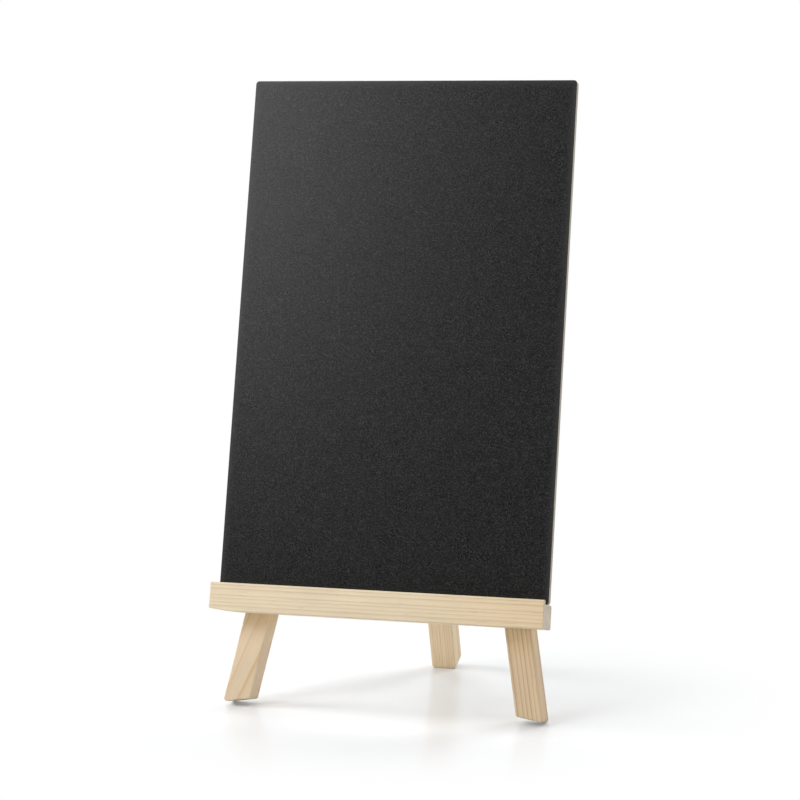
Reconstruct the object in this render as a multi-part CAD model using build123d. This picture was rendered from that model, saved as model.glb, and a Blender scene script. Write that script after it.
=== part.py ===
from build123d import *
import os
from math import cos, radians, sin, tan

# Tabletop chalkboard easel: a painted board stands in the ledge of a small pine frame, and a
# rear leg, hinged to the frame's top rail, props the frame up.
# Millimetres and degrees. The table is z = 0, the board faces -Y, and the origin is on the
# table under the middle of the whole easel.
# Each piece is drawn in the frame's own plane: x to the right, y up along the frame and
# z forwards, with z = 0 on the front faces of the front legs. Then the easel is stood up.

# Chalkboard
board_width = 240.0
board_height = 370.7
board_thickness = 6.0
board_corner_radius = 2.5
board_arris = 0.4
board_clearance = 0.1

# Pine strip that the legs and the rail are sawn from
strip_width = 19.0
strip_thickness = 19.0
planed_arris = 1.2
sawn_arris = 0.6

# Stance
frame_lean = 12.0
rear_leg_lean = 21.0
frame_shift = 2.6
foot_spacing = 215.4
leg_splay = 10.75
foot_slope = 9.25
foot_corner_radius = 2.0
leg_overrun = 8.0

# Ledge, a rebated pine strip with a low lip along its front
ledge_overhang = 1.0
ledge_depth = 26.0
ledge_height = 20.0
ledge_rise = 67.4
lip_height = 3.0
lip_thickness = 5.0
ledge_back_arris = 2.2
worn_length = 13.0
worn_height = 1.5
worn_radius = 30.0

# Steel butt hinge between the rail and the rear leg
hinge_rise = 269.3
hinge_length = 17.0
leaf_width = 13.0
leaf_thickness = 1.0
leaf_corner_radius = 1.5
pin_radius = 0.9
pin_clearance = 0.05
pin_overhang = 0.3
knuckle_wall = 0.85
knuckle_gap = 0.3
middle_knuckle = 5.4
wood_clearance = 0.4

# Countersunk screws: the long ones join the wood, the short ones hold the hinge
wood_screw_radius = 1.75
wood_screw_head_radius = 3.4
ledge_screw_length = 34.0
rail_screw_length = 38.0
rail_screw_spacing = 8.5
hinge_screw_radius = 1.0
hinge_screw_head_radius = 1.8
hinge_screw_length = 9.0
hinge_screw_spacing = 9.5
hinge_screw_rise = 8.0
screw_clearance = 0.05
tip_in_radii = 2.5
recess_reach_in_radii = 1.1
recess_width_in_radii = 0.22
recess_depth_in_radii = 0.35

# What follows from the sizes
lean = radians(frame_lean)
rear_lean = radians(rear_leg_lean)
splay = radians(leg_splay)
fold = lean + rear_lean
half_leg = strip_width / 2 / cos(splay)
foot_rise = strip_thickness * tan(lean)
ledge_length = board_width + ledge_overhang
floor_rise = ledge_rise + ledge_height - lip_height
knuckle_radius = pin_radius + pin_clearance + knuckle_wall
pivot_to_face = knuckle_radius + wood_clearance
hinge_back = -strip_thickness - leaf_thickness
rail_bottom = hinge_rise + (pivot_to_face - leaf_thickness * cos(fold)) / sin(fold)
rail_top = rail_bottom + strip_width
leg_top = rail_top + leg_overrun
upright = Plane(origin=(0, 0, 0), x_dir=(1, 0, 0), z_dir=(0, -cos(lean), sin(lean))).location
at_hinge = Pos(frame_shift, hinge_rise, hinge_back)


# Centre line of a front leg at a height up the frame; side is -1 on the left, 1 on the right
def leg_centre(side, y):
    return frame_shift + side * (foot_spacing / 2 - y * tan(splay))


# Block between two opposite corners
def block(corner, opposite):
    size = [abs(b - a) for a, b in zip(corner, opposite)]
    middle = [(a + b) / 2 for a, b in zip(corner, opposite)]
    return Pos(*middle) * Box(*size)


# Flat outline through some corners, made as thick as the strip, back from z = 0
def sawn(*corners):
    return extrude(make_face(Polyline(*corners, close=True)), amount=-strip_thickness)


# Round the edges that run along the grain, as the planer leaves them
def planed(piece, grain):
    return fillet(piece.edges().filter_by(Axis((0, 0, 0), grain)), planed_arris)


# Round the foot's corners, after which the planed edges run on round the foot
def footed(leg, grain):
    corners = leg.edges().filter_by(Axis.Z).sort_by(Axis.Y)[:2]
    return planed(fillet(corners, foot_corner_radius), grain)


# Countersunk screw with its head's face at z = 0 and its point down; grow makes its hole
def turned_screw(head_radius, shank_radius, length, grow=0.0):
    outline = Polyline(
        (0, grow),
        (head_radius + 2 * grow, grow),
        (shank_radius + grow, shank_radius - head_radius),
        (shank_radius + grow, tip_in_radii * shank_radius - length),
        (0, -length - grow),
        close=True,
    )
    return revolve(Plane.XZ * make_face(outline), Axis.Z)


# Screw with a cross recess in its head
def make_screw(head_radius, shank_radius, length):
    reach = head_radius * recess_reach_in_radii
    width = head_radius * recess_width_in_radii
    depth = 2 * head_radius * recess_depth_in_radii
    recess = Box(reach, width, depth) + Box(width, reach, depth)
    return turned_screw(head_radius, shank_radius, length) - recess


# Places of the screws: each has its head's face in the place's plane
def screw_place(origin, outwards):
    return Plane(origin=origin, z_dir=outwards).location


def ledge_screw_places():
    y = (ledge_rise + floor_rise) / 2
    return [screw_place((leg_centre(s, y), y, -strip_thickness), (0, 0, -1)) for s in (-1, 1)]


def rail_screw_places(side):
    outwards = Vector(side * cos(splay), sin(splay), 0)
    middle = (rail_bottom + rail_top + rail_screw_length * sin(splay)) / 2
    places = []
    for step in (-rail_screw_spacing / 2, rail_screw_spacing / 2):
        centre = Vector(leg_centre(side, middle + step), middle + step, -strip_thickness / 2)
        places.append(screw_place(centre + outwards * (strip_width / 2), outwards))
    return places


def hinge_screw_places(outwards):
    xs = (-hinge_screw_spacing / 2, hinge_screw_spacing / 2)
    return [at_hinge * screw_place((x, hinge_screw_rise, 0), (0, 0, outwards)) for x in xs]


wood_screw = (wood_screw_head_radius, wood_screw_radius)
hinge_screw = (hinge_screw_head_radius, hinge_screw_radius)


def screws(places, kind, length):
    return Compound([place * make_screw(*kind, length) for place in places])


def bored(piece, places, kind, length):
    for place in places:
        piece -= place * turned_screw(*kind, length, screw_clearance)
    return piece


# Chalkboard, standing on the ledge's floor, flush with its left end, and leaning on the legs
def make_board():
    left = -ledge_length / 2
    top = floor_rise + board_height
    front = board_clearance + board_thickness
    board = block((left, floor_rise, board_clearance), (left + board_width, top, front))
    board = fillet(board.edges().filter_by(Axis.Z), board_corner_radius)
    return fillet(board.faces().filter_by(Axis.Z).edges(), board_arris)


# Edges along X at a height and a depth
def long_edge(piece, y, z):
    near = Vector(0, y, z)
    return piece.edges().filter_by(Axis.X).sort_by(lambda e: (e.center() - near).length)[0]


# Ledge: the board stands on its floor, behind the lip. The left end's underside is sanded away
# at a slope that blends into the rest of it.
def make_ledge():
    half = ledge_length / 2
    top = ledge_rise + ledge_height
    lip_back = ledge_depth - lip_thickness
    ledge = block((-half, ledge_rise, 0), (half, floor_rise, ledge_depth))
    ledge += block((-half, floor_rise - lip_height, lip_back), (half, top, ledge_depth))
    slope = ((-half, ledge_rise), (worn_length - half, ledge_rise), (-half, ledge_rise + worn_height))
    ledge -= extrude(make_face(Polyline(*slope, close=True)), amount=ledge_depth)
    ledge = fillet(ledge.edges().filter_by(Axis.Z).sort_by(Axis.Y)[:2].sort_by(Axis.X)[0], worn_radius)
    ledge = fillet(long_edge(ledge, floor_rise, 0), ledge_back_arris)
    corners = ((ledge_rise, 0), (ledge_rise, ledge_depth), (top, ledge_depth), (top, lip_back))
    ledge = fillet([long_edge(ledge, y, z) for y, z in corners], planed_arris)
    ends = ledge.faces().filter_by(Axis.X)
    ledge = fillet(ends.edges(), sawn_arris)
    return bored(ledge, ledge_screw_places(), wood_screw, ledge_screw_length)


# Front leg: sawn square at its top and at a slope at its foot
def make_front_leg(side):
    slope = tan(radians(foot_slope))
    inner_rise = foot_rise + 2 * half_leg * slope / (1 - tan(splay) * slope)
    leg = sawn(
        (leg_centre(side, foot_rise) + side * half_leg, foot_rise),
        (leg_centre(side, inner_rise) - side * half_leg, inner_rise),
        (leg_centre(side, leg_top) - side * half_leg, leg_top),
        (leg_centre(side, leg_top) + side * half_leg, leg_top),
    )
    leg = footed(leg, (-side * sin(splay), cos(splay), 0))
    leg = fillet(leg.faces().sort_by(Axis.Y)[-1].edges(), sawn_arris)
    leg = bored(leg, ledge_screw_places(), wood_screw, ledge_screw_length)
    return bored(leg, rail_screw_places(side), wood_screw, rail_screw_length)


# Rail between the front legs, its ends sawn to their splay
def make_rail():
    rail = sawn(
        *[(leg_centre(s, rail_bottom) - s * half_leg, rail_bottom) for s in (-1, 1)],
        *[(leg_centre(s, rail_top) - s * half_leg, rail_top) for s in (1, -1)],
    )
    rail = planed(rail, (1, 0, 0))
    for side in (-1, 1):
        rail = bored(rail, rail_screw_places(side), wood_screw, rail_screw_length)
    return bored(rail, hinge_screw_places(-1), hinge_screw, hinge_screw_length)


# Height above the table of the lowest point of an easel piece
def lowest(piece):
    return (upright * piece).bounding_box().min.Z


# Rear leg: its top is bevelled to lie on the hinge, and it stands as low as the front legs
def make_rear_leg(table):
    half = strip_width / 2
    hinge_height = hinge_rise * cos(lean) + hinge_back * sin(lean)
    eased_corner = planed_arris * (sin(rear_lean) + cos(rear_lean) - 1)
    length = (hinge_height + pivot_to_face * sin(rear_lean) + eased_corner - table) / cos(rear_lean)
    back = -pivot_to_face - strip_thickness
    top = rail_top - hinge_rise
    uncut = (top - back * sin(fold)) / cos(fold) + strip_width
    leg = footed(block((-half, -length, back), (half, uncut, -pivot_to_face)), (0, 1, 0))
    leg = Rot(X=frame_lean + rear_leg_lean) * leg
    reach = length + uncut
    leg -= block((-reach, -reach, -leaf_thickness), (reach, reach, reach))
    leg -= block((-reach, top, -reach), (reach, reach, reach))
    bevel = leg.faces().filter_by(Axis.Z)[0]
    end = leg.faces().filter_by(Axis.Y)[0]
    leg = at_hinge * fillet(bevel.edges() + end.edges(), sawn_arris)
    return bored(leg, hinge_screw_places(1), hinge_screw, hinge_screw_length)


# Hinge leaf: a plate with its knuckles rolled round the pin. It lies forwards of the pin on
# the rail, towards = 1, or behind it on the rear leg, towards = -1.
def make_leaf(towards, knuckles, notches):
    half = hinge_length / 2
    plate = block((-half, 0, 0), (half, leaf_width, towards * leaf_thickness))
    plate = fillet(plate.edges().filter_by(Axis.Z).sort_by(Axis.Y)[-2:], leaf_corner_radius)
    clear = knuckle_radius + knuckle_gap
    for left, right in notches:
        plate -= block((left, -clear, -clear), (right, clear, clear))
    for left, right in knuckles:
        plate += Pos((left + right) / 2, 0, 0) * Rot(Y=90) * Cylinder(knuckle_radius, right - left)
    plate -= Rot(Y=90) * Cylinder(pin_radius + pin_clearance, 2 * hinge_length)
    return bored(at_hinge * plate, hinge_screw_places(-towards), hinge_screw, hinge_screw_length)


# The rail's leaf has the two outer knuckles and the leg's leaf the middle one
def make_leaves():
    end = hinge_length / 2
    near = middle_knuckle / 2
    far = near + knuckle_gap
    rail_leaf = make_leaf(1, [(-end, -far), (far, end)], [(-far, far)])
    leg_leaf = make_leaf(-1, [(-near, near)], [(-end - far, -near), (near, end + far)])
    return rail_leaf, leg_leaf


def make_pin():
    return at_hinge * Rot(Y=90) * Cylinder(pin_radius, hinge_length + 2 * pin_overhang)


front_leg_left = make_front_leg(-1)
hinge_frame_leaf, hinge_leg_leaf = make_leaves()
easel = {
    "chalkboard": make_board(),
    "ledge": make_ledge(),
    "front_leg_left": front_leg_left,
    "front_leg_right": make_front_leg(1),
    "top_rail": make_rail(),
    "rear_leg": make_rear_leg(lowest(front_leg_left)),
    "hinge_frame_leaf": hinge_frame_leaf,
    "hinge_leg_leaf": hinge_leg_leaf,
    "hinge_pin": make_pin(),
    "ledge_screws": screws(ledge_screw_places(), wood_screw, ledge_screw_length),
    "rail_screws": screws(rail_screw_places(-1) + rail_screw_places(1), wood_screw, rail_screw_length),
    "hinge_frame_screws": screws(hinge_screw_places(-1), hinge_screw, hinge_screw_length),
    "hinge_leg_screws": screws(hinge_screw_places(1), hinge_screw, hinge_screw_length),
}

# Stand the easel up with the origin on the table, under the middle of its box
standing = {name: upright * piece for name, piece in easel.items()}
box = Compound(list(standing.values())).bounding_box()
to_origin = Pos(-box.center().X, -box.center().Y, -box.min.Z)
os.makedirs("parts", exist_ok=True)
for name, piece in standing.items():
    export_step(to_origin * piece, f"parts/{name}.step")

print("easel box", [round(c, 2) for c in box.size])
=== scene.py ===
from math import cos, radians, sin

import bpy
from mathutils import Matrix, Vector


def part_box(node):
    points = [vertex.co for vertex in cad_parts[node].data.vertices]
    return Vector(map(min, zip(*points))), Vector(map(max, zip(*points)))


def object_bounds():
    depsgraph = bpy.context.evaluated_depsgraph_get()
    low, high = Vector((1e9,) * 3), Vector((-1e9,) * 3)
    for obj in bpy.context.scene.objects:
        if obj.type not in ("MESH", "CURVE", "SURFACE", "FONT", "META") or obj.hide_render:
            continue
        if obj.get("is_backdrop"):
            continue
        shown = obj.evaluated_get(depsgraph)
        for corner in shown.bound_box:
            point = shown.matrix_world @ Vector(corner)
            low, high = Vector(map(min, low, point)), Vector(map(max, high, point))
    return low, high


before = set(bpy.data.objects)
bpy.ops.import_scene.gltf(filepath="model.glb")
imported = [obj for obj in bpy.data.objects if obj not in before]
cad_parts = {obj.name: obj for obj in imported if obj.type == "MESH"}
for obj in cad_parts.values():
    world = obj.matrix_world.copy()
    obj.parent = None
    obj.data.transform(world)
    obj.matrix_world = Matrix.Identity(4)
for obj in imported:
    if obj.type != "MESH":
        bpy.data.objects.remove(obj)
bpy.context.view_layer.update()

# Camera
# It stands a little to the right of the easel and looks slightly down on it, as in the photograph.
# The picture is cut from the lower part of its view, so that the board's sides lean together less.
camera_place = (0.4691, -1.7128, 0.3787)
camera_turn, camera_dip, camera_roll = radians(15.64), radians(3.89), radians(0.405)
picture_width, lens_in_pixels, shift_in_pixels = 800, 2446.3, -60
camera_data = bpy.data.cameras.new("camera")
camera_data.lens = camera_data.sensor_width * (lens_in_pixels / picture_width)
camera_data.shift_y = shift_in_pixels / picture_width
camera = bpy.data.objects.new("camera", camera_data)
bpy.context.collection.objects.link(camera)
aim = Matrix.Rotation(camera_turn, 4, "Z") @ Matrix.Rotation(radians(90) - camera_dip, 4, "X")
camera.matrix_world = Matrix.Translation(camera_place) @ aim @ Matrix.Rotation(camera_roll, 4, "Z")
bpy.context.scene.camera = camera

# Floor
# A table top with a hard white coat, which mirrors the legs softly, much wider than the picture. Away
# from the easel it fades into the white background, and near it the camera sees it a little lifted.
floor_size = 12.0
fade_start, fade_end = 0.1, 0.3
floor_lift = 0.055
bpy.ops.object.select_all(action="DESELECT")
bpy.ops.mesh.primitive_plane_add(size=floor_size, location=(0, 0, 0))
floor = bpy.context.object
floor.name = "floor"
bpy.ops.object.transform_apply(location=True, rotation=True, scale=True)


def add_node(material, kind, sockets=(), **settings):
    """Adds a node with its settings; each socket gets a value or another node's output."""
    node = material.node_tree.nodes.new("ShaderNode" + kind)
    for name, value in settings.items():
        setattr(node, name, value)
    for name, value in dict(sockets).items():
        if isinstance(value, bpy.types.NodeSocket):
            material.node_tree.links.new(value, node.inputs[name])
        else:
            node.inputs[name].default_value = value
    return node


def calculate(material, operation, *values):
    """Adds a sum on numbers or outputs, and returns its output."""
    return add_node(material, "Math", dict(enumerate(values)), operation=operation).outputs[0]


def between(material, value, low, high, least=0.0, most=1.0, **settings):
    """Adds a node that spreads the value's stretch from low to high from least to most."""
    return add_node(material, "MapRange", {
        "Value": value, "From Min": low, "From Max": high, "To Min": least, "To Max": most},
        **settings).outputs[0]


def new_material(name):
    """An empty material made of nodes."""
    material = bpy.data.materials.new(name)
    material.use_nodes = True
    material.node_tree.nodes.clear()
    return material


white_floor = new_material("white_floor")
table_top = add_node(white_floor, "BsdfPrincipled", {
    "Base Color": (0.82, 0.838, 0.852, 1), "Roughness": 0.2, "Specular IOR Level": 0.1})
ray = add_node(white_floor, "LightPath").outputs
seen = calculate(white_floor, "MAXIMUM", ray["Is Camera Ray"], ray["Is Glossy Ray"])
seen = calculate(white_floor, "MAXIMUM", seen, ray["Is Transmission Ray"])
glow = add_node(white_floor, "Emission", {
    "Strength": calculate(white_floor, "MULTIPLY", seen, floor_lift)})
lifted = add_node(white_floor, "AddShader", {0: table_top.outputs[0], 1: glow.outputs[0]})
place = add_node(white_floor, "TexCoord").outputs["Object"]
distance = add_node(white_floor, "VectorMath", {0: place}, operation="LENGTH").outputs["Value"]
fade = between(white_floor, distance, fade_start, fade_end, interpolation_type="SMOOTHSTEP")
fade = calculate(white_floor, "MULTIPLY", fade, seen)
background = add_node(white_floor, "Emission", {"Strength": 1.0})
faded = add_node(white_floor, "MixShader", {
    0: fade, 1: lifted.outputs[0], 2: background.outputs[0]})
add_node(white_floor, "OutputMaterial", {"Surface": faded.outputs[0]})
floor.data.materials.append(white_floor)
floor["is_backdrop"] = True

# Studio light
# A soft box at the front left gives the board its sheen. Others stand at the left, low at the front
# and the right, overhead and behind, and light the easel evenly all round. The white room does the
# rest, and what is mirrored of it is dimmer in front.
centre = Vector((0, 0, 0.2))


def add_soft_box(name, turn, height, distance, size, power):
    """A square lamp at an angle round the easel from its front, and at an angle above the table."""
    turn, height = radians(turn), radians(height)
    away = Vector((sin(turn) * cos(height), -cos(turn) * cos(height), sin(height)))
    data = bpy.data.lights.new(name, "AREA")
    data.size = size
    data.energy = power
    lamp = bpy.data.objects.new(name, data)
    bpy.context.collection.objects.link(lamp)
    facing = away.to_track_quat("Z", "Y").to_matrix().to_4x4()
    lamp.matrix_world = Matrix.Translation(centre + away * distance) @ facing


add_soft_box("key_light", turn=-36, height=30, distance=2.5, size=1.1, power=24)
add_soft_box("left_light", turn=-80, height=30, distance=2.2, size=1.0, power=24)
add_soft_box("right_light", turn=55, height=8, distance=2.2, size=0.8, power=9)
add_soft_box("low_light", turn=15, height=4, distance=2.2, size=0.6, power=3.5)
add_soft_box("top_light", turn=0, height=90, distance=1.6, size=1.6, power=11)
add_soft_box("back_left_light", turn=-150, height=40, distance=2.2, size=1.0, power=12)
add_soft_box("back_right_light", turn=150, height=30, distance=2.2, size=1.0, power=19)

room_light = 0.15
dim_front = 0.35
world = bpy.data.worlds.new("white_room")
world.use_nodes = True
bpy.context.scene.world = world
world.node_tree.nodes.clear()
ray = add_node(world, "LightPath").outputs
seen = calculate(world, "MAXIMUM", ray["Is Camera Ray"], ray["Is Transmission Ray"])
place = add_node(world, "TexCoord").outputs["Generated"]
backwards = add_node(world, "SeparateXYZ", {0: place}).outputs["Y"]
mirrored = between(world, backwards, -1, 1, least=dim_front)
strength = add_node(world, "Mix", {
    0: ray["Is Glossy Ray"], 2: between(world, seen, 0, 1, least=room_light), 3: mirrored}).outputs[0]
room = add_node(world, "Background", {"Color": (1, 1, 1, 1), "Strength": strength})
add_node(world, "OutputWorld", {"Surface": room.outputs[0]})
bpy.context.scene.view_settings.view_transform = "Standard"

# Front legs
# Two strips of planed pine, glued and screwed to the back of the ledge and to the rail. They lean
# back with the board and splay out, and their feet are sawn off level and rounded over.
lean, splay = radians(12), radians(10.75)
right = Vector((1, 0, 0))
up = Vector((0, sin(lean), cos(lean)))
forward = Vector((0, -cos(lean), sin(lean)))
pale_end, dark_end = (0.640, 0.555, 0.440, 1), (0.350, 0.275, 0.190, 1)
year_tones = ((0, 0.45), (0.07, 0), (0.5, 0.05), (0.78, 0.3), (0.93, 1))
unevenness, faintest_ring = 0.9, 0.5
noise_spread = 0.3, 0.7
tone_spread = 0.95, 1.05
canal_depth, fibre_relief = 0.13, 0.7


def add_ramp(material, factor, stops):
    """Adds a ramp of tones and returns its output: a stop has its place from 0 to 1 and its tone."""
    ramp = add_node(material, "ValToRGB", {0: factor})
    elements = ramp.color_ramp.elements
    elements.remove(elements[1])
    elements[0].position = stops[0][0]
    elements[0].color = (stops[0][1],) * 3 + (1,)
    for place, tone in stops[1:]:
        elements.new(place).color = (tone,) * 3 + (1,)
    return ramp.outputs[0]


def mix_colours(material, share, first, second):
    """Adds a mix of two colours and returns its output."""
    return add_node(material, "Mix", {0: share, 6: first, 7: second}, data_type="RGBA").outputs[2]


def times(material, vector, factors):
    """Adds a product of a place or colour with a factor for each axis, and returns its output."""
    return add_node(material, "VectorMath", {0: vector, 1: factors}, operation="MULTIPLY").outputs[0]


def scaled(material, vector, factor):
    """Adds a product of a place or colour with one factor, and returns its output."""
    return add_node(material, "VectorMath", {0: vector, "Scale": factor}, operation="SCALE").outputs[0]


def make_pine(name, early, late, along, facing, pith, ring_gap, seed, taper=0.0, sway=0.0015,
              painted_shade=(1, 1, 1), painted_shade_span=(0, 1)):
    """Pine with yearly rings round a line through the pith, and fibres along that line.

    In the log, z is the height along the line from the pith, and x and y run across it. Between two
    such heights, painted_shade_span, the wood's colour turns to itself times painted_shade. This is
    painted shade: it makes the wood darker and warmer where less light falls on it."""
    along = along.normalized()
    out = (facing - facing.dot(along) * along).normalized()
    turned = Matrix((out.cross(along), out, along)).transposed().to_euler()
    pine = new_material(name)
    place = add_node(pine, "TexCoord").outputs
    log = add_node(pine, "Mapping", {
        "Vector": place["Object"], "Location": pith, "Rotation": turned}, vector_type="TEXTURE").outputs[0]
    height = add_node(pine, "SeparateXYZ", {0: log}).outputs["Z"]

    def noise(scale, detail=2.0, lengthwise=1, across=1):
        """Noise in the log, drawn out along the fibres or across them where that share is under 1."""
        return add_node(pine, "TexNoise", {
            "Vector": times(pine, log, (across, 1, lengthwise)), "W": seed, "Scale": scale,
            "Detail": detail}, noise_dimensions="4D").outputs

    # yearly rings, which wander, lie unevenly and differ in strength
    wandered = add_node(pine, "VectorMath", {
        0: noise(28.0, lengthwise=0.12)["Color"], 1: (2 * sway, 2 * sway, 0), 2: log},
        operation="MULTIPLY_ADD").outputs[0]
    sideways = times(pine, wandered, (1, 1, 0))
    radius = add_node(pine, "VectorMath", {0: sideways}, operation="LENGTH").outputs["Value"]
    radius = calculate(pine, "MULTIPLY_ADD", height, taper, radius)
    years = calculate(pine, "DIVIDE", radius, ring_gap)
    uneven = add_node(pine, "TexNoise", {"W": years, "Scale": 0.45, "Detail": 1.0}, noise_dimensions="1D")
    years = calculate(pine, "MULTIPLY_ADD", uneven.outputs[0], unevenness, years)
    growth = add_ramp(pine, calculate(pine, "FRACT", years), year_tones)
    strength = add_node(pine, "TexWhiteNoise", {"W": calculate(pine, "FLOOR", years)}, noise_dimensions="1D")
    strength = between(pine, strength.outputs[0], 0, 1, least=faintest_ring)
    ring = calculate(pine, "MULTIPLY", growth, strength)
    wood = mix_colours(pine, ring, early, late)
    # painted shade: between two heights along the grain the wood is darkened and warmed
    wood = mix_colours(pine, between(pine, height, *painted_shade_span), wood, times(pine, wood, painted_shade))

    # end grain, greyer, with the saw's marks
    turned_to_end = add_node(pine, "VectorMath", {0: place["Normal"], 1: along}, operation="DOT_PRODUCT")
    turned_to_end = calculate(pine, "ABSOLUTE", turned_to_end.outputs["Value"])
    saw_marks = noise(1100.0, lengthwise=0.12, across=0.12)[0]
    saw_marks = between(pine, saw_marks, low=0.35, high=0.65, least=0.78, most=1.16)
    end_grain = scaled(pine, mix_colours(pine, ring, pale_end, dark_end), saw_marks)
    wood = mix_colours(pine, between(pine, turned_to_end, low=0.6, high=0.9), wood, end_grain)

    # fibres, dark resin canals and the wood's slow change of tone
    fibre = noise(1600.0, detail=3.0, lengthwise=0.02)[0]
    canal = between(pine, noise(1300.0, detail=1.0, lengthwise=0.07)[0], low=0.64, high=0.72)
    tone = between(pine, noise(45.0, lengthwise=0.3)[0], *noise_spread, *tone_spread)
    shade = calculate(pine, "MULTIPLY", between(pine, fibre, *noise_spread, *tone_spread), tone)
    shade = calculate(pine, "MULTIPLY_ADD", canal, -canal_depth, shade)

    relief = calculate(pine, "MULTIPLY_ADD", fibre, fibre_relief, ring)
    bump = add_node(pine, "Bump", {"Strength": 0.5, "Distance": 0.00006, "Height": relief})
    surface = add_node(pine, "BsdfPrincipled", {
        "Base Color": scaled(pine, wood, shade), "Specular IOR Level": 0.3, "Normal": bump.outputs[0],
        "Roughness": between(pine, ring, 0, 1, least=0.62, most=0.5)})
    add_node(pine, "OutputMaterial", {"Surface": surface.outputs[0]})
    return pine


def dress(node, material):
    """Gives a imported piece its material."""
    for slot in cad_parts[node].material_slots:
        slot.material = material


grain_slant = splay + radians(8)
low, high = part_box("front_leg_left")
# Painted shade: the left leg is darker and warmer from just under the ledge upwards, for the ledge's shade.
dress("front_leg_left", make_pine(
    "left_leg_pine", early=(0.685, 0.547, 0.380, 1), late=(0.600, 0.410, 0.240, 1),
    along=sin(grain_slant) * right + cos(grain_slant) * up, facing=forward,
    pith=Vector(low) + 0.016 * right - 0.013 * forward, ring_gap=0.0055, seed=1.0, taper=0.035,
    painted_shade=(1.0, 0.93, 0.8), painted_shade_span=(0.05, 0.064)))
low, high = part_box("front_leg_right")
# Painted shade: the right leg is a little warmer from just under the ledge upwards, for the ledge's shade.
dress("front_leg_right", make_pine(
    "right_leg_pine", early=(0.655, 0.502, 0.330, 1), late=(0.430, 0.260, 0.130, 1),
    along=-sin(splay) * right + cos(splay) * up, facing=forward,
    pith=Vector((high.x, low.y, low.z)) + 0.07 * right, ring_gap=0.0031, seed=2.0, sway=0.0008,
    painted_shade=(1, 1, 0.96), painted_shade_span=(0.055, 0.075)))

# Ledge
# One length of pine with a rebate along its top, where the board stands behind a low lip. Its ends
# are sawn square, and the left one is worn away underneath.
# Painted shade: the ledge's right part is darker and warmer, for the light that falls off away from the
# left.
low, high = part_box("ledge")
dress("ledge", make_pine(
    "ledge_pine", early=(0.730, 0.612, 0.440, 1), late=(0.600, 0.420, 0.240, 1), along=right, facing=forward,
    pith=(Vector(low) + Vector(high)) / 2 - 0.03 * forward - 0.052 * up, ring_gap=0.0023, seed=3.0,
    sway=0.0008, painted_shade=(0.955, 0.905, 0.83), painted_shade_span=(0.02, 0.11)))

# Top rail
# A short strip of the same pine between the front legs, sawn to their splay. The screws through the
# legs go into its end grain, and it carries the hinge.
low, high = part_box("top_rail")
dress("top_rail", make_pine(
    "rail_pine", early=(0.735, 0.600, 0.430, 1), late=(0.540, 0.360, 0.210, 1), along=right, facing=forward,
    pith=(Vector(low) + Vector(high)) / 2 - 0.02 * forward - 0.03 * up, ring_gap=0.0026, seed=4.0))

# Rear leg
# A strip of pine that hangs from the hinge behind the rail and props the easel up. Its foot is sawn
# to stand flat, and its top is eased where it folds past the rail.
rear_lean = radians(21)
# Painted light: this pine is paler than the other pieces, standing in for light its front lacks in the
# easel's shade.
low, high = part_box("rear_leg")
dress("rear_leg", make_pine(
    "rear_leg_pine", early=(0.840, 0.672, 0.452, 1), late=(0.670, 0.475, 0.270, 1),
    along=Vector((0, -sin(rear_lean), cos(rear_lean))),
    facing=Vector((0, -cos(rear_lean), -sin(rear_lean))),
    pith=Vector((high.x, high.y, low.z)) + 0.06 * right, ring_gap=0.0023, seed=5.0, sway=0.0008))

# Hinge and screws
# A small butt hinge of pressed steel turns on its pin, and wood screws with cross recesses hold it
# and the frame together. All are zinc plated and a little brushed.
pale_zinc, dark_zinc = (0.70, 0.70, 0.69, 1), (0.56, 0.56, 0.54, 1)


def plain_noise(material, vector, scale, detail):
    """Adds noise that is alike along all axes, and returns its output."""
    return add_node(material, "TexNoise", {"Vector": vector, "Scale": scale, "Detail": detail}).outputs[0]


zinc = new_material("zinc_plate")
place = add_node(zinc, "TexCoord").outputs["Object"]
brush_strokes = times(zinc, place, (0.05, 1, 1))
brushed = plain_noise(zinc, brush_strokes, scale=6000.0, detail=2.0)
plate = mix_colours(zinc, plain_noise(zinc, place, scale=350.0, detail=3.0), pale_zinc, dark_zinc)
bump = add_node(zinc, "Bump", {"Strength": 0.3, "Distance": 0.00002, "Height": brushed})
surface = add_node(zinc, "BsdfPrincipled", {
    "Base Color": plate, "Metallic": 1.0, "Normal": bump.outputs[0],
    "Roughness": between(zinc, brushed, *noise_spread, least=0.26, most=0.42)})
add_node(zinc, "OutputMaterial", {"Surface": surface.outputs[0]})
for node in ("hinge_frame_leaf", "hinge_leg_leaf", "hinge_pin", "hinge_frame_screws", "hinge_leg_screws",
             "ledge_screws", "rail_screws"):
    dress(node, zinc)
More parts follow.
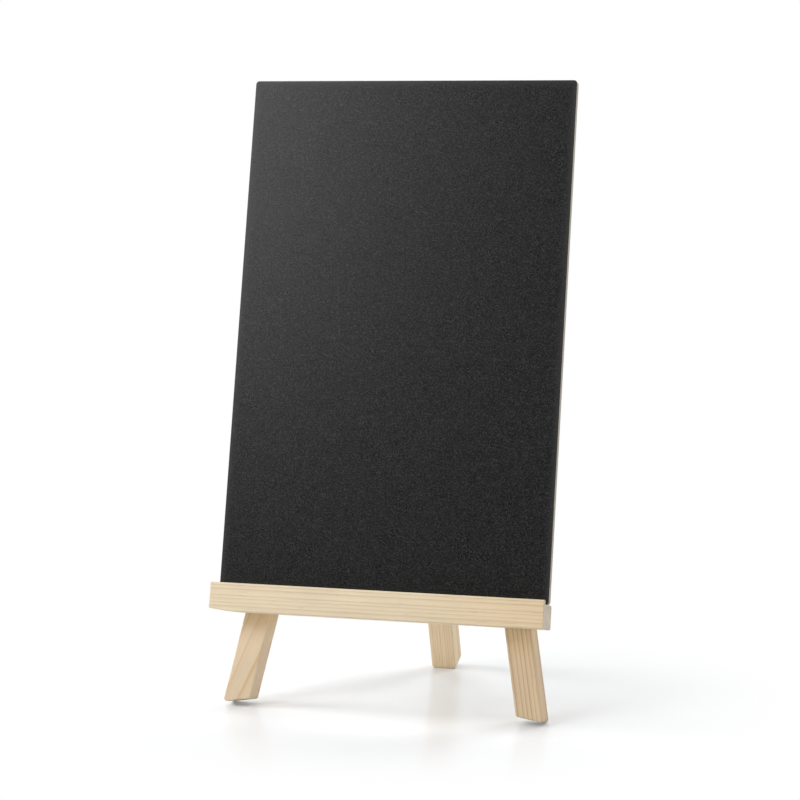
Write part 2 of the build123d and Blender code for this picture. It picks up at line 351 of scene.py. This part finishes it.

# Chalkboard
# A sheet of fibreboard, sprayed black on both faces with a fine tooth for the chalk. A paler band along
# its rim is painted light, standing in for the glare of the white room round its edges. It stands loose
# on the ledge. Its sawn edges are bare, and the paint ends on them in a thin brown line.
board_width, board_height, board_thickness = 0.240, 0.3707, 0.006
glare_width, glare_falloff = 0.008, 2.5
paint_reach, raggedness = 0.0002, 0.00008
black, speck, painted_rim_glare = (0.0005, 0.0006, 0.0005, 1), (0.0245, 0.025, 0.0245, 1), (0.030, 0.030, 0.029, 1)
pale_fibre, dark_fibre, brown = (0.45, 0.415, 0.345, 1), (0.35, 0.315, 0.25, 1), (0.11, 0.085, 0.055, 1)
edge_roughness, gloss_spread = 0.7, (0.27, 0.285)
low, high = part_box("chalkboard")
board = new_material("chalkboard")
place = add_node(board, "TexCoord").outputs["Object"]
flat = add_node(board, "Mapping", {
    "Vector": place, "Location": (Vector(low) + Vector(high)) / 2,
    "Rotation": (radians(90) - lean, 0, 0)}, vector_type="TEXTURE")
off_middle = add_node(board, "VectorMath", {0: flat.outputs[0]}, operation="ABSOLUTE")
off_middle = add_node(board, "SeparateXYZ", {0: off_middle.outputs[0]}).outputs

from_side = calculate(board, "SUBTRACT", board_width / 2, off_middle["X"])
from_end = calculate(board, "SUBTRACT", board_height / 2, off_middle["Y"])
from_rim = calculate(board, "MINIMUM", from_side, from_end)
# painted light: towards the rim the paint turns paler, as painted glare round the board's edges
glare_share = between(board, from_rim, 0, glare_width, least=1, most=0)
glare_share = calculate(board, "POWER", glare_share, glare_falloff)
tooth = plain_noise(board, place, scale=1100.0, detail=2.0)
paint = mix_colours(board, between(board, tooth, low=0.48, high=0.6), black, speck)
paint = mix_colours(board, glare_share, paint, painted_rim_glare)

fuzz = plain_noise(board, place, scale=1400.0, detail=3.0)
fibreboard = mix_colours(board, fuzz, pale_fibre, dark_fibre)
ragged = between(board, fuzz, *noise_spread, least=-raggedness, most=raggedness)
reach = calculate(board, "ADD", off_middle["Z"], ragged)
bare_end, brown_middle, paint_start = (
    board_thickness / 2 - depth * paint_reach for depth in (2, 1.2, 0.6))
painted = between(board, reach, brown_middle, paint_start)
colour = mix_colours(board, between(board, reach, bare_end, brown_middle), fibreboard, brown)
colour = mix_colours(board, painted, colour, paint)

gloss = plain_noise(board, place, scale=60.0, detail=3.0)
gloss = between(board, gloss, *noise_spread, *gloss_spread)
bump = add_node(board, "Bump", {"Strength": 0.5, "Distance": 0.00012, "Height": tooth})
surface = add_node(board, "BsdfPrincipled", {
    "Base Color": colour, "Specular IOR Level": 0.25, "Normal": bump.outputs[0],
    "Roughness": between(board, painted, 0, 1, least=edge_roughness, most=gloss)})
add_node(board, "OutputMaterial", {"Surface": surface.outputs[0]})
dress("chalkboard", board)

low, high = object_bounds()
